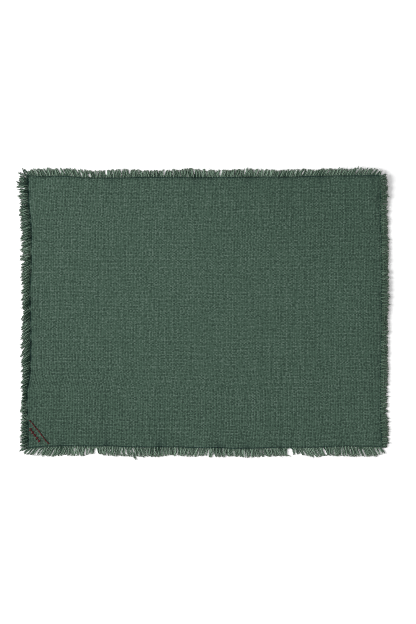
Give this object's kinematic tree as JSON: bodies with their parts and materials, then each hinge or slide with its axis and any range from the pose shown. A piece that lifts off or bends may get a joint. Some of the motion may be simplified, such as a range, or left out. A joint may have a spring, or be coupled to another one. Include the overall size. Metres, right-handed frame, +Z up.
{
  "type": "fringed fabric placemat",
  "caption": "Flat rectangular placemat of coarse woven cotton with a stitched border and a short frayed fringe on all four sides.",
  "frame": {"origin": "under the middle of the mat, on the surface it lies on", "axes": "+X along the mat's length, +Y along its width, +Z up, out of the cloth's face"},
  "size_m": [0.4562, 0.3552, 0.0068],
  "materials": {
    "cloth": "coarse slubby plain-weave cotton, muted grey green, matt",
    "fringe": "loose frayed cotton yarn ends, grey green, matt"
  },
  "bodies": {
    "root": {"cloth": "cloth", "fringe_left": "fringe", "fringe_right": "fringe", "fringe_top": "fringe", "fringe_bottom": "fringe"}
  },
  "joints": []
}
